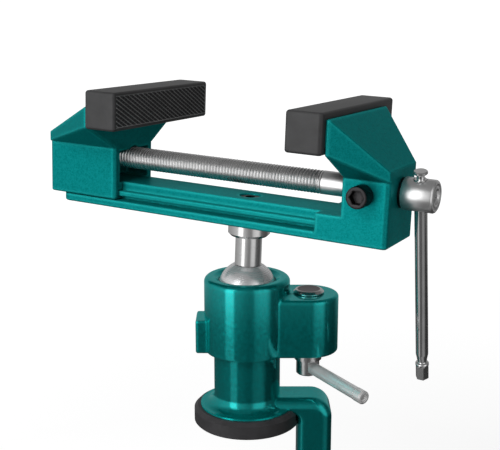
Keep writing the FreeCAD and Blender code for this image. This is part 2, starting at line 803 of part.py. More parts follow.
spindle = turned("spindle_turned", [
    ("0", "-spindle_left"),
    ("spindle_radius - spindle_lead", "-spindle_left"),
    ("spindle_radius", "spindle_lead - spindle_left"),
    ("spindle_radius", "groove_start"),
    ("lock_groove_radius", "groove_start"),
    ("lock_groove_radius", "groove_end"),
    ("spindle_radius", "groove_end"),
    ("spindle_radius", "head_start"),
    ("spindle_head_radius - spindle_head_bevel / 2", "head_start"),
    ("spindle_head_radius", "head_start + spindle_head_bevel / 2"),
    ("spindle_head_radius", "head_end - spindle_head_bevel"),
    ("spindle_head_radius - spindle_head_bevel", "head_end"),
    ("face_groove_outer", "head_end"),
    ("face_groove_outer", "head_end - face_groove_depth"),
    ("face_groove_inner", "head_end - face_groove_depth"),
    ("face_groove_inner", "head_end"),
    ("0", "head_end"),
])
settle(cut("spindle_body", spindle,
           rod("bar_hole", "bar_radius + bar_gap", "4 * spindle_head_radius",
               ("-2 * spindle_head_radius", "0", "bar_place"), "X"),
           prism("spindle_hex", "spindle_socket", "spindle_socket_depth + overshoot",
                 ("0", "0", "head_end - spindle_socket_depth"))),
       "spindle", SPINDLE)

settle(cut("washer_body",
           rod("washer_blank", "washer_radius", "washer_height", ("0", "0", "beam_end")),
           rod("washer_hole", "spindle_radius + run_gap", "washer_height + 2 * overshoot",
               ("0", "0", "beam_end - overshoot"))),
       "thrust_washer", SPINDLE)

settle(cut("lock_screw_body",
           turned("lock_screw_blank", [
               ("0", "0"),
               ("lock_head_radius - lock_head_edge", "0"),
               ("lock_head_radius", "lock_head_edge"),
               ("lock_head_radius", "lock_head_height"),
               ("lock_point_radius", "lock_head_height"),
               ("lock_point_radius",
                "lock_head_height + half_beam - lock_groove_radius - run_gap - fit_gap"),
               ("0", "lock_head_height + half_beam - lock_groove_radius - run_gap - fit_gap"),
           ]),
           prism("lock_screw_hex", "lock_socket", "lock_socket_depth + overshoot",
                 ("0", "0", "-overshoot"))),
       "spindle_lock_screw", LOCK)

# Tommy bar --------------------------------------------------------------------------------------

settle(fuse("tommy_body",
            turned("tommy_turned", [
                ("0", "bar_flange_low"),
                ("bar_flange_radius", "bar_flange_low"),
                ("bar_flange_radius", "bar_neck_low"),
                ("bar_neck_radius", "bar_neck_low"),
                ("bar_neck_radius", "-bar_below - bar_neck_length / 2"),
                ("bar_radius", "-bar_below"),
                ("bar_radius", "bar_above"),
                ("bar_spigot_radius", "bar_above"),
                ("bar_spigot_radius", "bar_above + bar_spigot_length"),
                ("0", "bar_above + bar_spigot_length"),
            ]),
            prism("tommy_hex", "bar_hex", "bar_hex_length",
                  ("0", "0", "bar_flange_low - bar_hex_length"))),
       "tommy_bar", TOMMY)
settle(cut("tommy_cap_body",
           turned("tommy_cap", [
               ("0", "bar_cap_place"),
               ("bar_cap_radius - bar_cap_bevel", "bar_cap_place"),
               ("bar_cap_radius", "bar_cap_place + bar_cap_bevel"),
               ("bar_cap_radius", "bar_cap_top - bar_cap_bevel"),
               ("bar_cap_radius - bar_cap_bevel", "bar_cap_top"),
               ("0", "bar_cap_top"),
           ]),
           rod("tommy_cap_hole", "bar_spigot_radius + fit_gap",
               "bar_above + bar_spigot_length + fit_gap - bar_cap_place + overshoot",
               ("0", "0", "bar_cap_place - overshoot"))),
       "tommy_bar_cap", TOMMY)

# Locking lever ----------------------------------------------------------------------------------

shaft = fuse("cam_shaft_blank",
             rod("shaft_low", "pin_radius", "cam_low - hub_top", ("0", "0", "hub_top")),
             rod("shaft_neck", "cam_radius - cam_throw", "ear_top - housing_low",
                 ("0", "0", "housing_low")),
             rod("cam", "cam_radius", "cam_high - cam_low",
                 ("cam_throw * cos(180 - lever_angle)", "cam_throw * sin(180 - lever_angle)", "cam_low")),
             rod("shaft_high", "pin_radius", "cap_seat - cam_high", ("0", "0", "cam_high")),
             turned("shaft_cap", [
                 ("0", "cap_seat"),
                 ("cap_radius", "cap_seat"),
                 ("cap_radius", "ear_top + cap_height / 2"),
                 ("cap_radius - cap_height / 2", "ear_top + cap_height"),
                 ("0", "ear_top + cap_height"),
             ]),
             rod("shaft_tail", "tail_radius", "hub_top - hub_low", ("0", "0", "hub_low")))
settle(cut("cam_shaft_body", shaft,
           rod("shaft_lever_hole", "lever_spigot_radius + fit_gap", "4 * tail_radius",
               ("-2 * tail_radius", "0", "lever_level"), "X")),
       "cam_shaft", PIN)
settle(cut("lever_hub_body",
           fuse("lever_hub_blank",
                rod("hub_flange", "hub_flange_radius", "hub_flange_height", ("0", "0", "hub_shoulder")),
                turned("hub_round", [
                    ("0", "hub_low"),
                    ("hub_radius - hub_edge", "hub_low"),
                    ("hub_radius", "hub_low + hub_edge"),
                    ("hub_radius", "hub_shoulder"),
                    ("0", "hub_shoulder"),
                ])),
           block("hub_flat_cut", ("hub_flat", "-hub_radius", "hub_low - overshoot"),
                 ("2 * hub_radius", "hub_radius", "hub_shoulder")),
           rod("hub_bore", "tail_radius + fit_gap", "hub_top - hub_low + 2 * overshoot",
               ("0", "0", "hub_low - overshoot")),
           rod("hub_lever_hole", "lever_radius + fit_gap", "2 * hub_radius",
               ("0", "0", "lever_level"), "X")),
       "lever_hub", PIN)
LEVER_ROOT = "tail_radius + run_gap"
settle(fuse("lever_rod_body",
            rod("lever_long", "lever_radius", "lever_length - (%s)" % LEVER_ROOT,
                (LEVER_ROOT, "0", "lever_level"), "X"),
            rod("lever_spigot", "lever_spigot_radius", LEVER_ROOT + " + lever_spigot_length",
                ("-lever_spigot_length", "0", "lever_level"), "X")),
       "lever_rod", PIN)
settle(turned("lever_tip_body", [
    ("0", "lever_length"),
    ("lever_radius", "lever_length"),
    ("tip_radius", "lever_length + tip_lead"),
    ("tip_radius", "lever_length + 2 * tip_lead"),
    ("tip_radius - tip_groove_depth", "lever_length + 2 * tip_lead"),
    ("tip_radius - tip_groove_depth", "lever_length + 2 * tip_lead + tip_groove"),
    ("tip_radius", "lever_length + 2 * tip_lead + tip_groove"),
    ("tip_radius", "tip_end - tip_bevel"),
    ("tip_radius - tip_bevel", "tip_end"),
    ("tip_recess_radius", "tip_end"),
    ("tip_recess_radius", "tip_end - tip_recess"),
    ("0", "tip_end - tip_recess"),
]), "lever_tip", PIN * place("0", "0", "lever_level", TURN["X"]))

settle(cut("brake_shoe_body",
           rod("shoe_blank", "shoe_radius", "ear_reach - cam_radius - cam_throw - slide_gap",
               ("0", "0", "shoe_height"), "X"),
           sphere("shoe_cup", "cup_radius", ("0", "0", "ball_height"))),
       "brake_shoe")

# Table clamp ------------------------------------------------------------------------------------

settle(cut("clamp_screw_body",
           turned("clamp_turned", [
               ("0", "clamp_head_low"),
               ("clamp_head_radius - clamp_bevel", "clamp_head_low"),
               ("clamp_head_radius", "clamp_head_low + clamp_bevel"),
               ("clamp_head_radius", "clamp_head_top - clamp_bevel"),
               ("clamp_head_radius - clamp_bevel", "clamp_head_top"),
               ("clamp_radius", "clamp_head_top"),
               ("clamp_radius", "clamp_shoulder_low"),
               ("clamp_pin", "clamp_shoulder_low"),
               ("clamp_pin", "clamp_pin_end"),
               ("0", "clamp_pin_end"),
           ]),
           rod("clamp_bar_hole", "clamp_bar_radius + bar_gap", "4 * clamp_head_radius",
               ("-2 * clamp_head_radius", "0", "clamp_bar_level"), "X")),
       "clamp_screw")
settle(cut("clamp_foot_body",
           turned("clamp_foot_turned", [
               ("0", "foot_low"),
               ("clamp_pin + foot_boss", "foot_low"),
               ("foot_radius", "foot_low + foot_edge"),
               ("foot_radius", "foot_top"),
               ("0", "foot_top"),
           ]),
           rod("foot_socket_bore", "clamp_pin + run_gap", "foot_socket + overshoot",
               ("0", "0", "foot_low - overshoot"))),
       "clamp_foot")
settle(rod("foot_pad_body", "foot_radius - foot_inset", "foot_skin", ("0", "0", "foot_top")),
       "clamp_foot_pad")
settle(rod("clamp_bar_body", "clamp_bar_radius", "clamp_bar_length",
           ("-clamp_bar_length / 2", "0", "clamp_bar_level"), "X"),
       "clamp_bar")


def knob(name, side):
    """A cap on one end of the clamp bar: side is -1 or 1."""
    body = turned(name, [
        ("0", "0"),
        ("knob_radius - knob_edge", "0"),
        ("knob_radius", "knob_edge"),
        ("knob_radius", "knob_length - knob_crown"),
        ("knob_radius - knob_crown", "knob_length"),
        ("0", "knob_length"),
    ])
    body.Placement = place("%d * (clamp_bar_length / 2 + fit_gap)" % side, "0", "clamp_bar_level",
                           FreeCAD.Rotation(FreeCAD.Vector(0, 1, 0), 90 * side))
    return body


knobs = doc.addObject("Part::Compound", "clamp_bar_knobs")
knobs.Links = [knob("knob_left", -1), knob("knob_right", 1)]
settle(knobs, "clamp_bar_knobs")

# Check every object, then write one file per sub-part -------------------------------------------

doc.recompute()
for thing in doc.Objects:
    if "Invalid" in thing.State or "Error" in thing.State:
        raise SystemExit("%s did not build: %s" % (thing.Name, thing.State))
for label, thing in PARTS.items():
    shape = thing.Shape
    if shape.isNull() or not shape.isValid() or not shape.Solids:
        raise SystemExit("%s has no valid shape" % label)
os.makedirs("parts", exist_ok=True)
for label, thing in PARTS.items():
    thing.Shape.exportStep("parts/%s.step" % label)
print(len(PARTS), "sub-parts")
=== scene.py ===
import json
import math

import bmesh
import bpy
from mathutils import Matrix, Vector

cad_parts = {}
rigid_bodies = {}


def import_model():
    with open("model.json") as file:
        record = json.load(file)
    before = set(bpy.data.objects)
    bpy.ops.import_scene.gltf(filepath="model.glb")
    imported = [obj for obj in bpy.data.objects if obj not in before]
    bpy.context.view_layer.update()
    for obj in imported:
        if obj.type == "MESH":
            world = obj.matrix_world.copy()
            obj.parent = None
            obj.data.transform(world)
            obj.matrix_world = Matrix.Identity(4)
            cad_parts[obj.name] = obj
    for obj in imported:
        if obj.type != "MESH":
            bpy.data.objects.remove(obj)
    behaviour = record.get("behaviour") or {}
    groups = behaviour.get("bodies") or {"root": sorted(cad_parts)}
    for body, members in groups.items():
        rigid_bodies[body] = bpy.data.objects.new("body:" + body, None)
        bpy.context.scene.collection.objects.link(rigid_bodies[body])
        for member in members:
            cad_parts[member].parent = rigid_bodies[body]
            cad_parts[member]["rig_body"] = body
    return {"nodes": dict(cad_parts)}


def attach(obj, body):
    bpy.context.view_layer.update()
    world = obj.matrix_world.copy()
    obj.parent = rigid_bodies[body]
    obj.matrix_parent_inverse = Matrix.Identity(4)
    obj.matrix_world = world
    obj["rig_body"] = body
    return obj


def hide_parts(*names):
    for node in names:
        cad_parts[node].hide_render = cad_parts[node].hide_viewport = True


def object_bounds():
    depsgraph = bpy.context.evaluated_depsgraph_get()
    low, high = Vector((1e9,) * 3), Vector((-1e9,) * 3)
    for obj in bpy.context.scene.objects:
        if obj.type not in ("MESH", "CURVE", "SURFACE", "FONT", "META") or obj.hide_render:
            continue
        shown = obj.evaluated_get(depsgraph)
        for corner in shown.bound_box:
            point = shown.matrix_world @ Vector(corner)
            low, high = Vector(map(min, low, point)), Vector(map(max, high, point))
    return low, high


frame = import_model()
cad_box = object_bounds()
MM = 0.001

# Places and sizes of the CAD model, in millimetres and degrees --------------------------------------

BALL_HEIGHT = 61.5
LEAN_ANGLE = 2.0
HEAD_ANGLE = -28.3
FIXED_FACE = 33.2
MOVING_FACE = -45.2
HALF_BEAM = 15.0
SPINDLE_RISE = 52.0
BAR_PLACE = 76.2
BAR_ANGLE = 14.0
BAR_HOLE_RADIUS = 2.8
LOCK_PLACE = 57.8
LOCK_HEAD_HEIGHT = 7.5
EAR_REACH = 27.3
LEVER_ANGLE = -60.4
LEVER_HEIGHT = 25.5
CLAMP_BAR_HEIGHT = -120.5
CLAMP_BAR_HOLE_RADIUS = 3.15
THREAD_RADIUS = 5.0
THREAD_LEAD = 1.5


def turn(angle, axis):
    return Matrix.Rotation(math.radians(angle), 4, axis)


def shift(x, y, z):
    return Matrix.Translation(Vector((x, y, z)) * MM)


BASE = shift(0, 0, 0)
HEAD = shift(0, 0, BALL_HEIGHT) @ turn(LEAN_ANGLE, "Y") @ turn(HEAD_ANGLE, "Z")
SPINDLE = HEAD @ shift(0, 0, SPINDLE_RISE) @ turn(BAR_ANGLE, "X") @ turn(90, "Y")
TOMMY = HEAD @ shift(BAR_PLACE, 0, SPINDLE_RISE) @ turn(BAR_ANGLE, "X")
LOCK = HEAD @ shift(LOCK_PLACE, -HALF_BEAM - LOCK_HEAD_HEIGHT, SPINDLE_RISE) @ turn(-90, "X")
PIN = shift(EAR_REACH, 0, 0) @ turn(LEVER_ANGLE, "Z")
LEVER = PIN @ shift(0, 0, LEVER_HEIGHT) @ turn(90, "Y")
CLAMP_BAR = shift(0, 0, CLAMP_BAR_HEIGHT) @ turn(90, "Y")


def axis_of(place):
    """The direction of a place's own Z axis."""
    return place.to_3x3() @ Vector((0, 0, 1))


# Shader nodes ---------------------------------------------------------------------------------------

# Sockets of a Mix node that are used for colours
MIX_FIRST, MIX_SECOND, MIX_RESULT = 6, 7, 2


def new_material(name):
    material = bpy.data.materials.new(name)
    material.use_nodes = True
    nodes, links = material.node_tree.nodes, material.node_tree.links
    return material, nodes, links, nodes["Principled BSDF"]


def add(nodes, kind, **values):
    node = nodes.new(kind)
    for name, value in values.items():
        setattr(node, name, value)
    return node


def own_space(nodes):
    """Coordinates that move with the piece."""
    return add(nodes, "ShaderNodeTexCoord").outputs["Object"]


def noise(nodes, links, vector, scale, detail=3.0, roughness=0.5):
    node = add(nodes, "ShaderNodeTexNoise")
    node.inputs["Scale"].default_value = scale
    node.inputs["Detail"].default_value = detail
    node.inputs["Roughness"].default_value = roughness
    links.new(vector, node.inputs["Vector"])
    return node.outputs["Fac"]


def spread(nodes, links, value, low, high, from_low=0.0, from_high=1.0):
    """A value stretched from one span to another."""
    node = add(nodes, "ShaderNodeMapRange")
    node.inputs["From Min"].default_value = from_low
    node.inputs["From Max"].default_value = from_high
    node.inputs["To Min"].default_value = low
    node.inputs["To Max"].default_value = high
    links.new(value, node.inputs["Value"])
    return node.outputs["Result"]


def ramp(nodes, links, value, stops):
    node = add(nodes, "ShaderNodeValToRGB")
    elements = node.color_ramp.elements
    while len(elements) < len(stops):
        elements.new(0.5)
    for element, (place, colour) in zip(elements, stops):
        element.position = place
        element.color = (*colour, 1.0)
    links.new(value, node.inputs["Fac"])
    return node.outputs["Color"]


def bump(nodes, links, height, depth, strength, under=None):
    node = add(nodes, "ShaderNodeBump")
    node.inputs["Strength"].default_value = strength
    node.inputs["Distance"].default_value = depth * MM
    links.new(height, node.inputs["Height"])
    if under:
        links.new(under, node.inputs["Normal"])
    return node.outputs["Normal"]


def soft_edges(nodes, radius):
    """A normal that rounds sharp edges a little, as paint does."""
    node = add(nodes, "ShaderNodeBevel", samples=6)
    node.inputs["Radius"].default_value = radius * MM
    return node.outputs["Normal"]


def painted_edge_highlight(nodes, links, colour, highlight_tint, rounded, share):
    """A painted edge highlight: a colour that turns into another one along edges, where the rounded normal
    leaves the true one.
    """
    dot = add(nodes, "ShaderNodeVectorMath", operation="DOT_PRODUCT")
    links.new(rounded, dot.inputs[0])
    links.new(add(nodes, "ShaderNodeNewGeometry").outputs["Normal"], dot.inputs[1])
    mix = add(nodes, "ShaderNodeMix", data_type="RGBA")
    links.new(spread(nodes, links, dot.outputs["Value"], share, 0.0, 0.93, 0.995), mix.inputs["Factor"])
    links.new(colour, mix.inputs[MIX_FIRST])
    mix.inputs[MIX_SECOND].default_value = (*highlight_tint, 1)
    return mix.outputs[MIX_RESULT]


def shaded(colour, share):
    return [channel * share for channel in colour]


# Materials ------------------------------------------------------------------------------------------

# About how many cells, clouds, ripples or rings fit in a metre
FLAKE_SCALE = 1900
PAINT_CLOUD_SCALE = 620
PEEL_SCALE = 420
MOULD_CLOUD_SCALE = 160
STAIN_SCALE = 120
RING_SCALE = 5200


def flecked_paint(name, dark, light, roughness, metallic, fleck, peel, coat, edge, edge_highlight_share):
    """Metallic enamel with fine flakes, a slightly rippled surface, rounded edges and a lighter colour
    painted along them as highlight.

    fleck is how strongly the flakes differ, peel the ripples' depth in mm, edge the radius in mm that
    edges are shaded with, and the last argument how much of the lighter colour, a painted highlight,
    shows there.
    """
    material, nodes, links, shader = new_material(name)
    where = own_space(nodes)
    flakes = add(nodes, "ShaderNodeTexVoronoi")
    flakes.inputs["Scale"].default_value = FLAKE_SCALE
    links.new(where, flakes.inputs["Vector"])
    split = add(nodes, "ShaderNodeSeparateColor")
    links.new(flakes.outputs["Color"], split.inputs["Color"])
    cloud = noise(nodes, links, where, PAINT_CLOUD_SCALE, 4.0, 0.7)
    mixed = add(nodes, "ShaderNodeMath", operation="MULTIPLY_ADD")
    links.new(split.outputs["Red"], mixed.inputs[0])
    mixed.inputs[1].default_value = fleck
    links.new(cloud, mixed.inputs[2])
    colour = ramp(nodes, links, mixed.outputs[0], [(0.3, dark), (0.3 + 0.55 * (0.6 + fleck), light)])
    rounded = soft_edges(nodes, edge)
    # A lighter teal along the edges: a painted highlight where light would catch them
    edge_highlight_colour = (0.02, light[1] * 1.9, light[2] * 1.85)
    highlight_rounded = soft_edges(nodes, edge * 2.4)
    links.new(painted_edge_highlight(nodes, links, colour, edge_highlight_colour, highlight_rounded, edge_highlight_share), shader.inputs["Base Color"])
    fine = bump(nodes, links, split.outputs["Green"], peel * 0.6, 0.6, rounded)
    links.new(bump(nodes, links, noise(nodes, links, where, PEEL_SCALE), peel, 0.8, fine),
              shader.inputs["Normal"])
    links.new(spread(nodes, links, cloud, roughness - 0.05, roughness + 0.07, 0.3, 0.7),
              shader.inputs["Roughness"])
    shader.inputs["Metallic"].default_value = metallic
    shader.inputs["Specular IOR Level"].default_value = 0.25
    shader.inputs["Specular Tint"].default_value = (0.05, 1.0, 0.98, 1)
    shader.inputs["IOR"].default_value = 1.15
    shader.inputs["Coat Weight"].default_value = coat
    shader.inputs["Coat Roughness"].default_value = 0.06
    return material


def moulded(name, colour, roughness, grain, depth, specular=0.5):
    """Black rubber or plastic with a fine matt grain, depth mm deep."""
    material, nodes, links, shader = new_material(name)
    where = own_space(nodes)
    cloud = noise(nodes, links, where, MOULD_CLOUD_SCALE, 4.0)
    tone = ramp(nodes, links, cloud, [(0.3, shaded(colour, 0.8)), (0.75, shaded(colour, 1.3))])
    links.new(tone, shader.inputs["Base Color"])
    links.new(bump(nodes, links, noise(nodes, links, where, grain, 2.0), depth, 0.7),
              shader.inputs["Normal"])
    links.new(spread(nodes, links, cloud, roughness - 0.06, roughness + 0.08), shader.inputs["Roughness"])
    shader.inputs["Specular IOR Level"].default_value = specular
    return material


def turned_metal(name, axis, colour, roughness, depth, metallic=1.0):
    """Metal with the fine rings, depth mm deep, that a lathe leaves across an axis."""
    material, nodes, links, shader = new_material(name)
    where = own_space(nodes)
    along = add(nodes, "ShaderNodeVectorMath", operation="DOT_PRODUCT")
    along.inputs[1].default_value = axis
    links.new(where, along.inputs[0])
    line = add(nodes, "ShaderNodeCombineXYZ")
    links.new(along.outputs["Value"], line.inputs["X"])
    rings = noise(nodes, links, line.outputs["Vector"], RING_SCALE, 2.0)
    stain = noise(nodes, links, where, STAIN_SCALE, 4.0)
    tone = ramp(nodes, links, stain, [(0.3, shaded(colour, 0.88)), (0.7, colour)])
    links.new(tone, shader.inputs["Base Color"])
    shader.inputs["Metallic"].default_value = metallic
    links.new(spread(nodes, links, rings, roughness - 0.04, roughness + 0.08, 0.3, 0.7),
              shader.inputs["Roughness"])
    links.new(bump(nodes, links, rings, depth, 0.5), shader.inputs["Normal"])
    return material


# The last number of each paint sets how strongly its painted edge highlight shows
HEAD_PAINT = flecked_paint(
    "satin_teal", dark=(0.0, 0.165, 0.165), light=(0.004, 0.260, 0.260), roughness=0.38, metallic=0.50,
    fleck=0.45, peel=0.020, coat=0.0, edge=1.1, edge_highlight_share=0.7)
BASE_PAINT = flecked_paint(
    "gloss_teal", dark=(0.0, 0.300, 0.290), light=(0.001, 0.380, 0.370), roughness=0.12, metallic=0.85,
    fleck=0.15, peel=0.001, coat=0.4, edge=1.6, edge_highlight_share=0.15)

RUBBER = moulded("black_rubber", (0.030, 0.029, 0.031), 0.50, 2600, 0.010)
CAP_RUBBER = moulded("cap_rubber", (0.039, 0.039, 0.040), 0.44, 2200, 0.008, specular=0.40)
# Pale rubber on the cap grip's ridges: a painted highlight
RIDGE_HIGHLIGHT_RUBBER = moulded("cap_rubber_ridge_highlight", (0.290, 0.290, 0.295), 0.38, 2200, 0.004)
# Very dark rubber in the cap grip's valleys: painted shade
VALLEY_SHADE_RUBBER = moulded("cap_rubber_valley_shade", (0.008, 0.008, 0.009), 0.60, 2200, 0.004)
PLASTIC = moulded("black_plastic", (0.022, 0.022, 0.023), 0.38, 1800, 0.006)

UPRIGHT = (0, 0, 1)
ACROSS = (1, 0, 0)
TO_FRONT = (0, -1, 0)
STEEL = (0.70, 0.70, 0.70)
STEEL_UPRIGHT = turned_metal("steel_upright", UPRIGHT, STEEL, 0.20, 0.004)
STEEL_STUD = turned_metal("steel_stud", axis_of(HEAD), STEEL, 0.18, 0.004)
STEEL_BALL = turned_metal("steel_ball", axis_of(HEAD), (0.95, 0.95, 0.96), 0.24, 0.008, metallic=0.76)
STEEL_SPINDLE = turned_metal(
    "steel_spindle", axis_of(SPINDLE), (0.86, 0.86, 0.86), 0.25, 0.004, metallic=0.95)
STEEL_SPINDLE_HEAD = turned_metal(
    "steel_spindle_head", axis_of(SPINDLE), (0.92, 0.92, 0.92), 0.31, 0.002, metallic=0.94)
STEEL_DISHED = turned_metal("steel_dished", UPRIGHT, (0.10, 0.085, 0.09), 0.30, 0.003, metallic=0.8)
STEEL_BAR = turned_metal("steel_bar", axis_of(TOMMY), (0.94, 0.94, 0.94), 0.09, 0.001, metallic=0.97)
STEEL_LEVER = turned_metal("steel_lever", axis_of(LEVER), (0.90, 0.90, 0.90), 0.25, 0.001, metallic=0.58)
STEEL_CLAMP_BAR = turned_metal("steel_clamp_bar", ACROSS, STEEL, 0.20, 0.003)
BLACK_STEEL = turned_metal("black_oxide", TO_FRONT, (0.045, 0.043, 0.045), 0.34, 0.003)
BRONZE = turned_metal("bronze", axis_of(SPINDLE), (0.55, 0.38, 0.16), 0.30, 0.004)

CAD_LOOKS = {
    HEAD_PAINT: ["jaw_beam", "moving_jaw"],
    BASE_PAINT: ["column_frame", "socket_housing"],
    RUBBER: ["base_pad", "clamp_foot_pad"],
    CAP_RUBBER: ["fixed_jaw_cap", "moving_jaw_cap"],
    PLASTIC: ["clamp_bar_knobs"],
    STEEL_BALL: ["ball"],
    STEEL_STUD: ["ball_stud"],
    STEEL_SPINDLE: ["spindle"],
    STEEL_BAR: ["tommy_bar", "tommy_bar_cap"],
    STEEL_LEVER: ["lever_rod", "lever_tip"],
    STEEL_UPRIGHT: ["cam_shaft", "lever_hub", "clamp_screw", "clamp_foot"],
    STEEL_CLAMP_BAR: ["clamp_bar"],
    BLACK_STEEL: ["housing_set_screw", "stud_screw", "spindle_lock_screw", "thrust_washer"],
    BRONZE: ["ball_seat", "spindle_nut", "brake_shoe"],
}
for look, names in CAD_LOOKS.items():
    for name in names:
        node = frame["nodes"][name]
        node.data.materials.clear()
        node.data.materials.append(look)

# Mesh helpers: a bmesh is in millimetres, in its piece's own place -----------------------------------

SHARP_ANGLE = 32
THREAD_SHARP_ANGLE = 50


def smooth(mesh, sharp=SHARP_ANGLE):
    mesh.shade_smooth()
    mesh.set_sharp_from_angle(angle=math.radians(sharp))


def placed_object(name, bm, place):
    """Turns a bmesh into a scene object, in metres and in its place."""
    bmesh.ops.recalc_face_normals(bm, faces=bm.faces)
    mesh = bpy.data.meshes.new(name)
    bm.to_mesh(mesh)
    bm.free()
    mesh.transform(place @ Matrix.Scale(MM, 4))
    thing = bpy.data.objects.new(name, mesh)
    bpy.context.scene.collection.objects.link(thing)
    return thing


def finish_piece(name, bm, place, material, body, replaced=(), sharp=SHARP_ANGLE):
    """Makes a piece that rides on a body, and stands in for the CAD nodes that it replaces."""
    piece = placed_object(name, bm, place)
    piece.data.materials.append(material)
    smooth(piece.data, sharp)
    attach(piece, body)
    if replaced:
        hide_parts(*replaced)
    return piece


COUNT = 48
KNURL_COUNT = 96
KNURL_DEPTH = 0.28
HEX_HALF_SIDE = math.pi / 6


def radius_at(shape, size, k, count):
    """How far a section reaches at its k-th corner; a hexagon's size is half its width across flats."""
    if shape == "hex":
        angle = 2 * math.pi * k / count
        return size / math.cos((angle % (2 * HEX_HALF_SIDE)) - HEX_HALF_SIDE)
    if shape == "knurl":
        return size if k % 2 else size - KNURL_DEPTH
    return size


def around(reach, k, count, height):
    angle = 2 * math.pi * k / count
    return reach * math.cos(angle), reach * math.sin(angle), height


def section_ring(bm, shape, size, height, count):
    """The corners of one section, or a single point where its size is 0."""
    if size == 0:
        return [bm.verts.new((0, 0, height))]
    return [bm.verts.new(around(radius_at(shape, size, k, count), k, count, height)) for k in range(count)]


def ring_body(sections, count=COUNT):
    """A closed bmesh through (shape, size, height) sections; shapes are round, hex and knurl."""
    bm = bmesh.new()
    rings = [section_ring(bm, shape, size, height, count) for shape, size, height in sections]
    for low, high in zip(rings, rings[1:]):
        for k in range(count):
            n = (k + 1) % count
            corners = [low[k % len(low)], low[n % len(low)], high[n % len(high)], high[k % len(high)]]
            corners = [v for i, v in enumerate(corners) if v not in corners[:i]]
            if len(corners) > 2:
                bm.faces.new(corners)
    for ring in (rings[0], rings[-1]):
        if len(ring) > 1:
            bm.faces.new(ring)
    return bm


def turned_piece(name, sections, place, material, body, replaced=(), count=COUNT):
    return finish_piece(name, ring_body(sections, count), place, material, body, replaced)


# The cutter is wider at its very ends, which lie outside the piece
CUTTER_FLARE = 0.5
CUTTER_END = 0.01


def bored(piece, radius, length, place):
    """Cuts a round hole, centred on a place and running along its Z axis, through a piece."""
    cutter = placed_object("cutter", ring_body([
        ("round", radius + CUTTER_FLARE, -length / 2),
        ("round", radius, -length / 2 + CUTTER_END),
        ("round", radius, length / 2 - CUTTER_END),
        ("round", radius + CUTTER_FLARE, length / 2),
    ]), place)
    hole = piece.modifiers.new("hole", "BOOLEAN")
    hole.object = cutter
    hole.operation = "DIFFERENCE"
    hole.solver = "EXACT"
    depsgraph = bpy.context.evaluated_depsgraph_get()
    mesh = bpy.data.meshes.new_from_object(piece.evaluated_get(depsgraph))
    piece.modifiers.clear()
    piece.data = mesh
    smooth(mesh)
    bpy.data.objects.remove(cutter)


THREAD_COUNT = 40
THREAD_DEPTH = 0.85
THREAD_BEVEL = 1.2
THREAD_FADE = 2.2
# Height of the thread's profile at equal steps along one lead
THREAD_FORM = (0.0, 0.0, 0.3, 0.75, 1.0, 1.0, 0.75, 0.3)
THREAD_STEPS = len(THREAD_FORM)


def thread_height(phase):
    """The profile's height, from 0 to 1, at a phase counted in steps."""
    first = int(phase) % THREAD_STEPS
    blend = phase - int(phase)
    return THREAD_FORM[first] * (1 - blend) + THREAD_FORM[(first + 1) % THREAD_STEPS] * blend


def thread_body(start, end):
    """A closed right-hand threaded rod along Z, bevelled at its start, its thread fading out at its end."""
    bm = bmesh.new()
    rings = []
    for i in range(int(round((end - start) / THREAD_LEAD * THREAD_STEPS)) + 1):
        height = start + i * THREAD_LEAD / THREAD_STEPS
        full = max(0, min(1, (end - height) / THREAD_FADE))
        bevel = THREAD_DEPTH * (1 - max(0, min(1, (height - start) / THREAD_BEVEL)))
        ring = []
        for k in range(THREAD_COUNT):
            form = thread_height((i / THREAD_STEPS - k / THREAD_COUNT) % 1 * THREAD_STEPS)
            groove = THREAD_DEPTH * (1 - form) * full
            ring.append(bm.verts.new(around(THREAD_RADIUS - max(groove, bevel), k, THREAD_COUNT, height)))
        rings.append(ring)
    for low, high in zip(rings, rings[1:]):
        for k in range(THREAD_COUNT):
            n = (k + 1) % THREAD_COUNT
            bm.faces.new((low[k], low[n], high[n], high[k]))
    bm.faces.new(rings[0])
    bm.faces.new(rings[-1])
    return bm


# Jaw caps with a diamond grip -----------------------------------------------------------------------

GRIP_ROW = 1.86
GRIP_COLUMN = 3.4
GRIP_DEPTH = 0.35
GRIP_EDGE = 0.25
GRIP_FADE = 0.4
GRIP_STEP = 0.19
RIDGE_WIDTH = 0.30
SLIGHT_RIDGE = 0.62
# Faces higher than the first depth get the painted highlight rubber, faces deeper than the second the
# painted shade rubber
RIDGE_HIGHLIGHT_DEPTH, VALLEY_DEPTH = -0.10, -0.24
CAP_SLOT, RIDGE_HIGHLIGHT_SLOT, VALLEY_SLOT = 0, 1, 2
# How near points count as one, and as lying on the front or at its corner; and what angle is still flat
MERGE_DISTANCE = 0.002
PLANE_MARGIN = 0.01
CORNER_MARGIN = 0.05
FLAT_ANGLE = 0.3


def grip_height(across, up, side):
    """Depth below the cap's face: strong ridges one way, crossed by slighter ones."""
    ridge = 0.0
    for sign, height in ((side, 1.0), (-side, SLIGHT_RIDGE)):
        phase = (up / GRIP_ROW + sign * across / GRIP_COLUMN) % 1
        ridge = max(ridge, height * (1 - min(phase, 1 - phase) / RIDGE_WIDTH))
    return -GRIP_DEPTH * (1 - max(0.0, min(1.0, ridge)))


# Ridge tops take the painted highlight rubber, valley bottoms the painted shade rubber
def grip_material(depth):
    if depth > RIDGE_HIGHLIGHT_DEPTH:
        return RIDGE_HIGHLIGHT_SLOT
    return VALLEY_SLOT if depth < VALLEY_DEPTH else CAP_SLOT


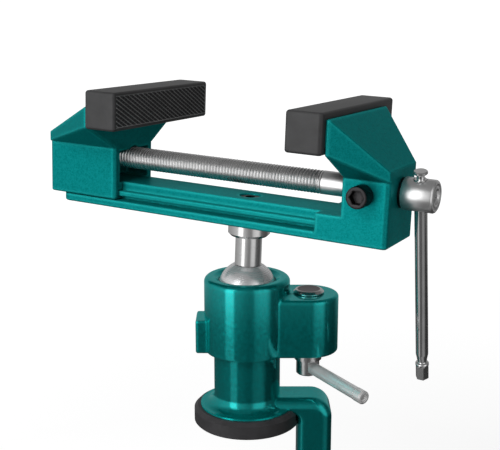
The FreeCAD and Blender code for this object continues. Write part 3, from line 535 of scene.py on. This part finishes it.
def open_front(bm, front_x):
    """Takes a cap's flat front out; returns its low and high corner, and each vertex that was on one.

    The vertices are listed by whether they are at the low y and whether they are at the low z.
    """
    front = [f for f in bm.faces if all(abs(v.co.x - front_x) < PLANE_MARGIN for v in f.verts)]
    corners = {v for f in front for v in f.verts}
    low = Vector((front_x, min(v.co.y for v in corners), min(v.co.z for v in corners)))
    high = Vector((front_x, max(v.co.y for v in corners), max(v.co.z for v in corners)))
    outer = {}
    for v in corners:
        outer[(abs(v.co.y - low.y) < CORNER_MARGIN, abs(v.co.z - low.z) < CORNER_MARGIN)] = v
    bmesh.ops.delete(bm, geom=front, context="FACES_ONLY")
    return low, high, outer


def grip_grid(bm, low, high, front_x, side):
    """Rows and columns of raised diamonds, a little inside the low and the high corner."""
    y0, y1 = low.y + GRIP_EDGE, high.y - GRIP_EDGE
    z0, z1 = low.z + GRIP_EDGE, high.z - GRIP_EDGE
    columns = int((y1 - y0) / GRIP_STEP)
    rows = int((z1 - z0) / GRIP_STEP)
    grid = []
    for i in range(columns + 1):
        y = y0 + (y1 - y0) * i / columns
        line = []
        for j in range(rows + 1):
            z = z0 + (z1 - z0) * j / rows
            edge = min(y - y0, y1 - y, z - z0, z1 - z)
            depth = grip_height(y, z, side) * min(1.0, edge / GRIP_FADE)
            line.append(bm.verts.new((front_x + side * depth, y, z)))
        grid.append(line)
    for i in range(columns):
        for j in range(rows):
            face = bm.faces.new((grid[i][j], grid[i + 1][j], grid[i + 1][j + 1], grid[i][j + 1]))
            face.material_index = grip_material((face.calc_center_median().x - front_x) * side)
    return grid


def gripped_cap(node, front_x, side):
    """A copy of a cap whose gripping face, at front_x and facing side, gets raised diamonds."""
    bm = bmesh.new()
    bm.from_mesh(frame["nodes"][node].data)
    bm.transform(Matrix.Scale(1 / MM, 4) @ HEAD.inverted())
    bmesh.ops.remove_doubles(bm, verts=bm.verts, dist=MERGE_DISTANCE)
    bmesh.ops.dissolve_limit(bm, angle_limit=math.radians(FLAT_ANGLE), verts=bm.verts, edges=bm.edges)
    for face in bm.faces:
        face.material_index = CAP_SLOT
    low, high, outer = open_front(bm, front_x)
    grid = grip_grid(bm, low, high, front_x, side)
    left, right = [line[0] for line in grid], [line[-1] for line in grid]
    bm.faces.new([outer[(True, True)]] + left + [outer[(False, True)]])
    bm.faces.new([outer[(True, False)]] + right + [outer[(False, False)]])
    bm.faces.new([outer[(True, True)]] + grid[0] + [outer[(True, False)]])
    bm.faces.new([outer[(False, True)]] + grid[-1] + [outer[(False, False)]])
    body = frame["nodes"][node]["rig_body"]
    piece = finish_piece(node + "_grip", bm, HEAD, CAP_RUBBER, body, [node])
    # Slots for the painted highlight on the ridges and the painted shade in the valleys
    piece.data.materials.append(RIDGE_HIGHLIGHT_RUBBER)
    piece.data.materials.append(VALLEY_SHADE_RUBBER)


gripped_cap("fixed_jaw_cap", FIXED_FACE, -1)
gripped_cap("moving_jaw_cap", MOVING_FACE, 1)

# Spindle with its thread, head and bar --------------------------------------------------------------

finish_piece(
    "spindle_thread", thread_body(-87.0, 34.5), SPINDLE, STEEL_SPINDLE, "screw",
    ["spindle"], sharp=THREAD_SHARP_ANGLE)

spindle_head = turned_piece("spindle_head", [
    # shank; the side screw's groove is 2.2 mm nearer to the head than in the CAD model
    ("round", 4.2, 34.45),
    ("round", 4.98, 34.8),
    ("round", 4.98, 57.3),
    ("round", 4.0, 57.3),
    ("round", 4.0, 62.7),
    ("round", 4.98, 62.7),
    ("round", 4.98, 69.6),
    # head
    ("round", 6.35, 69.6),
    ("round", 6.6, 69.7),
    ("round", 6.75, 69.95),
    ("round", 6.75, 81.9),
    ("round", 6.45, 82.45),
    ("round", 5.95, 82.8),
    # ring-shaped groove and hexagon socket in its end
    ("round", 5.3, 82.8),
    ("round", 5.15, 81.9),
    ("round", 4.5, 81.9),
    ("round", 4.35, 82.6),
    ("round", 4.1, 82.75),
    ("round", 3.4, 82.75),
    ("hex", 2.75, 82.2),
    ("hex", 2.5, 81.9),
    ("hex", 2.5, 79.9),
    ("round", 0, 79.4),
], SPINDLE, STEEL_SPINDLE_HEAD, "screw")
bored(spindle_head, BAR_HOLE_RADIUS, 14.6, TOMMY)

turned_piece("tommy_rod", [
    # hexagon end, flange and neck
    ("hex", 2.1, -86.7),
    ("hex", 2.5, -86.3),
    ("hex", 2.5, -80.2),
    ("round", 2.6, -80.15),
    ("round", 2.85, -79.9),
    ("round", 2.9, -79.6),
    ("round", 2.9, -79.1),
    ("round", 2.7, -78.75),
    ("round", 1.95, -78.5),
    ("round", 1.95, -78.2),
    # rod, with the pin that its button sits on
    ("round", 2.45, -75.2),
    ("round", 2.58, -74.7),
    ("round", 2.65, -74.2),
    ("round", 2.65, 6.6),
    ("round", 2.4, 6.9),
    ("round", 1.6, 6.9),
    ("round", 1.6, 9.9),
], TOMMY, STEEL_BAR, "handle_bar", ["tommy_bar"])

# Side screw that locks the spindle, and the cam shaft's top ------------------------------------------

turned_piece("lock_screw", [
    # hexagon socket
    ("round", 0, 3.9),
    ("hex", 2.5, 3.4),
    ("hex", 2.5, 0.35),
    ("hex", 2.65, 0.12),
    # head with a knurled side
    ("round", 3.25, 0.02),
    ("round", 3.95, 0.0),
    ("round", 4.3, 0.15),
    ("knurl", 4.48, 0.45),
    ("knurl", 4.5, 0.65),
    ("knurl", 4.5, 6.7),
    ("round", 4.2, 7.1),
    ("round", 4.2, LOCK_HEAD_HEIGHT),
    # shank
    ("round", 2.5, LOCK_HEAD_HEIGHT),
    ("round", 2.5, 18.3),
], LOCK, BLACK_STEEL, "head", ["spindle_lock_screw"], count=KNURL_COUNT)

turned_piece("shaft_rim", [
    ("round", 5.7, 60.9),
    ("round", 5.9, 61.05),
    ("round", 5.85, 61.3),
    ("round", 5.6, 61.5),
    ("round", 5.3, 61.55),
    ("round", 5.05, 61.5),
    ("round", 4.95, 61.4),
    ("round", 4.95, 61.2),
], PIN, STEEL_UPRIGHT, "lock_lever")
turned_piece("shaft_dish", [
    ("round", 4.97, 61.2),
    ("round", 4.97, 61.44),
    ("round", 3.8, 61.4),
    ("round", 2.2, 61.36),
    ("round", 0, 61.34),
], PIN, STEEL_DISHED, "lock_lever")

# Clamp screw with its thread, head and the pin in its foot -------------------------------------------

finish_piece(
    "clamp_screw_thread", thread_body(-114.4, -48.6), BASE, STEEL_UPRIGHT, "table_screw",
    ["clamp_screw"], sharp=THREAD_SHARP_ANGLE)

clamp_head = turned_piece("clamp_screw_head", [
    ("round", 0, -126.4),
    ("round", 3.0, -126.7),
    ("round", 6.2, -127.0),
    ("round", 6.9, -126.8),
    ("round", 7.4, -126.3),
    ("round", 7.5, -125.9),
    # ring groove
    ("round", 7.5, -123.9),
    ("round", 7.2, -123.7),
    ("round", 7.2, -123.3),
    ("round", 7.5, -123.1),
    # top
    ("round", 7.5, -115.2),
    ("round", 7.35, -114.7),
    ("round", 6.6, -114.1),
    ("round", 5.6, -114.0),
    ("round", 4.2, -113.7),
], BASE, STEEL_UPRIGHT, "table_screw")
bored(clamp_head, CLAMP_BAR_HOLE_RADIUS, 17.0, CLAMP_BAR)

turned_piece("clamp_screw_pin", [
    ("round", 4.0, -49.4),
    ("round", 4.4, -49.0),
    ("round", 4.8, -48.2),
    ("round", 4.9, -47.4),
    ("round", 4.6, -47.0),
    ("round", 3.5, -46.9),
    ("round", 3.5, -42.5),
    ("round", 3.2, -42.15),
], BASE, STEEL_UPRIGHT, "table_screw")

# Studio: what reflections see ------------------------------------------------------------------------

# Brightness by the angle in degrees from straight ahead of the object to its right
WALLS = [(-180, 0.40), (-150, 0.36), (-108, 0.48), (-80, 0.64), (-60, 0.74), (-57, 2.3), (-36, 2.3),
         (-33, 0.60), (-20, 0.52), (-4, 0.34), (8, 0.27), (16, 0.32), (22, 0.74), (35, 0.94), (52, 0.96),
         (60, 0.66), (67, 0.16), (110, 0.09), (140, 0.36), (180, 0.40)]
BRIGHTEST = 2.5
CEILING = 0.15
# Distances in metres on the floor: up to the near one it reflects as NEAR_FLOOR of the walls, and from
# the far one as all of them
NEAR_FLOOR = 0.22
NEAR_REACH, FAR_REACH = 0.58, 0.73
# The floor's own light for the camera, at a near and a far distance
GLOW_NEAR, GLOW_FAR = 0.76, 1.0
GLOW_START, GLOW_END = 0.35, 1.3
# Heights of a direction between which the walls turn into the ceiling
WALL_TOP, CEILING_START = 0.45, 0.75
AMBIENT = 0.30
FLOOR_COLOUR = (0.45, 0.45, 0.45, 1)
WHITE = (1, 1, 1, 1)
FLOOR_DROP = 0.026  # clear of the clamp screw at its lowest
FLOOR_HALF_SIZE = 60.0
REFLECTIONS = ("Is Glossy Ray", "Is Transmission Ray")


def walls(nodes, links, way):
    """The studio's brightness along a direction, as a share of the brightest."""
    ahead = add(nodes, "ShaderNodeMath", operation="MULTIPLY")
    links.new(way.outputs["Y"], ahead.inputs[0])
    ahead.inputs[1].default_value = -1.0
    angle = add(nodes, "ShaderNodeMath", operation="ARCTAN2")
    links.new(way.outputs["X"], angle.inputs[0])
    links.new(ahead.outputs[0], angle.inputs[1])
    share = spread(nodes, links, angle.outputs[0], 0.0, 1.0, -math.pi, math.pi)
    return ramp(nodes, links, share, [((a + 180) / 360, [v / BRIGHTEST] * 3) for a, v in WALLS])


def direction(nodes, links, vector):
    way = add(nodes, "ShaderNodeSeparateXYZ")
    links.new(vector, way.inputs["Vector"])
    return way


def chosen(nodes, links, plain, shown, *paths):
    """shown for the given kinds of ray, plain for all others."""
    path = add(nodes, "ShaderNodeLightPath")
    share = path.outputs[paths[0]]
    for name in paths[1:]:
        either = add(nodes, "ShaderNodeMath", operation="MAXIMUM")
        links.new(share, either.inputs[0])
        links.new(path.outputs[name], either.inputs[1])
        share = either.outputs[0]
    mix = add(nodes, "ShaderNodeMixShader")
    links.new(share, mix.inputs["Fac"])
    links.new(plain, mix.inputs[1])
    links.new(shown, mix.inputs[2])
    return mix.outputs["Shader"]


def floor_look():
    """Pale and matt, white far away to the camera, and the walls' brightness to reflections."""
    material = bpy.data.materials.new("pale_floor")
    material.use_nodes = True
    nodes, links = material.node_tree.nodes, material.node_tree.links
    nodes.clear()
    where = own_space(nodes)
    reach = add(nodes, "ShaderNodeVectorMath", operation="LENGTH")
    links.new(where, reach.inputs[0])
    matt = add(nodes, "ShaderNodeBsdfDiffuse")
    matt.inputs["Color"].default_value = FLOOR_COLOUR
    glow = add(nodes, "ShaderNodeEmission")
    links.new(spread(nodes, links, reach.outputs["Value"], GLOW_NEAR, GLOW_FAR, GLOW_START, GLOW_END),
              glow.inputs["Strength"])
    pale = add(nodes, "ShaderNodeAddShader")
    links.new(matt.outputs[0], pale.inputs[0])
    links.new(glow.outputs[0], pale.inputs[1])
    seen = add(nodes, "ShaderNodeEmission")
    links.new(walls(nodes, links, direction(nodes, links, where)), seen.inputs["Color"])
    links.new(spread(nodes, links, reach.outputs["Value"], NEAR_FLOOR * BRIGHTEST, BRIGHTEST,
                     NEAR_REACH, FAR_REACH), seen.inputs["Strength"])
    surface = chosen(nodes, links, matt.outputs[0], seen.outputs[0], *REFLECTIONS)
    surface = chosen(nodes, links, surface, pale.outputs[0], "Is Camera Ray")
    links.new(surface, add(nodes, "ShaderNodeOutputMaterial").inputs["Surface"])
    return material


def make_floor(height):
    bm = bmesh.new()
    bmesh.ops.create_grid(bm, x_segments=4, y_segments=4, size=FLOOR_HALF_SIZE)
    mesh = bpy.data.meshes.new("floor")
    bm.to_mesh(mesh)
    bm.free()
    mesh.materials.append(floor_look())
    floor = bpy.data.objects.new("floor", mesh)
    floor.location.z = height
    bpy.context.scene.collection.objects.link(floor)


def make_world():
    """An even dim light, white to the camera, with the walls and a darker ceiling in reflections."""
    world = bpy.data.worlds.new("studio")
    world.use_nodes = True
    nodes, links = world.node_tree.nodes, world.node_tree.links
    nodes.clear()
    ambient = add(nodes, "ShaderNodeBackground")
    ambient.inputs["Strength"].default_value = AMBIENT
    way = direction(nodes, links, add(nodes, "ShaderNodeTexCoord").outputs["Generated"])
    tone = add(nodes, "ShaderNodeMix", data_type="RGBA")
    links.new(spread(nodes, links, way.outputs["Z"], 0.0, 1.0, WALL_TOP, CEILING_START),
              tone.inputs["Factor"])
    links.new(walls(nodes, links, way), tone.inputs[MIX_FIRST])
    tone.inputs[MIX_SECOND].default_value = [CEILING / BRIGHTEST] * 3 + [1]
    seen = add(nodes, "ShaderNodeBackground")
    seen.inputs["Strength"].default_value = BRIGHTEST
    links.new(tone.outputs[MIX_RESULT], seen.inputs["Color"])
    white = add(nodes, "ShaderNodeBackground")
    white.inputs["Color"].default_value = WHITE
    surface = chosen(nodes, links, ambient.outputs[0], seen.outputs[0], *REFLECTIONS)
    surface = chosen(nodes, links, surface, white.outputs[0], "Is Camera Ray")
    links.new(surface, add(nodes, "ShaderNodeOutputWorld").inputs["Surface"])
    bpy.context.scene.world = world


make_floor(cad_box[0].z - FLOOR_DROP)
make_world()

# Lamps and camera ------------------------------------------------------------------------------------

AIM = Vector((0, 0, 0.06))


def lamp(name, angle, rise, distance, width, height, radiance):
    """A soft box seen from the object at an angle from straight ahead to its right, and at a rise.

    Reflections don't show it, because the walls already do.
    """
    data = bpy.data.lights.new(name, "AREA")
    data.shape = "RECTANGLE"
    data.size, data.size_y = width, height
    data.energy = math.pi * width * height * radiance
    thing = bpy.data.objects.new(name, data)
    aside, lift = math.radians(angle), math.radians(rise)
    way = Vector((math.sin(aside) * math.cos(lift), -math.cos(aside) * math.cos(lift), math.sin(lift)))
    thing.location = way * distance + AIM
    thing.rotation_euler = (AIM - thing.location).to_track_quat("-Z", "Y").to_euler()
    thing.visible_glossy = False
    bpy.context.scene.collection.objects.link(thing)


lamp("strip", angle=-45, rise=22, distance=1.0, width=0.34, height=0.90, radiance=2.6)
lamp("key", angle=-38, rise=42, distance=1.1, width=0.50, height=0.50, radiance=8.5)

CAMERA_PLACE = (0.0013, -0.4231, 0.1904)
CAMERA_LOOK = (0.0, 0.9732, -0.2301)
SENSOR_WIDTH = 36.0
LENS = 71.86

camera_data = bpy.data.cameras.new("camera")
camera_data.sensor_fit = "HORIZONTAL"
camera_data.sensor_width = SENSOR_WIDTH
camera_data.lens = LENS
camera_data.clip_start = 0.01
camera_data.clip_end = 200.0
camera = bpy.data.objects.new("camera", camera_data)
camera.location = CAMERA_PLACE
camera.rotation_euler = Vector(CAMERA_LOOK).to_track_quat("-Z", "Y").to_euler()
bpy.context.scene.collection.objects.link(camera)
bpy.context.scene.camera = camera
bpy.context.scene.view_settings.view_transform = "Standard"
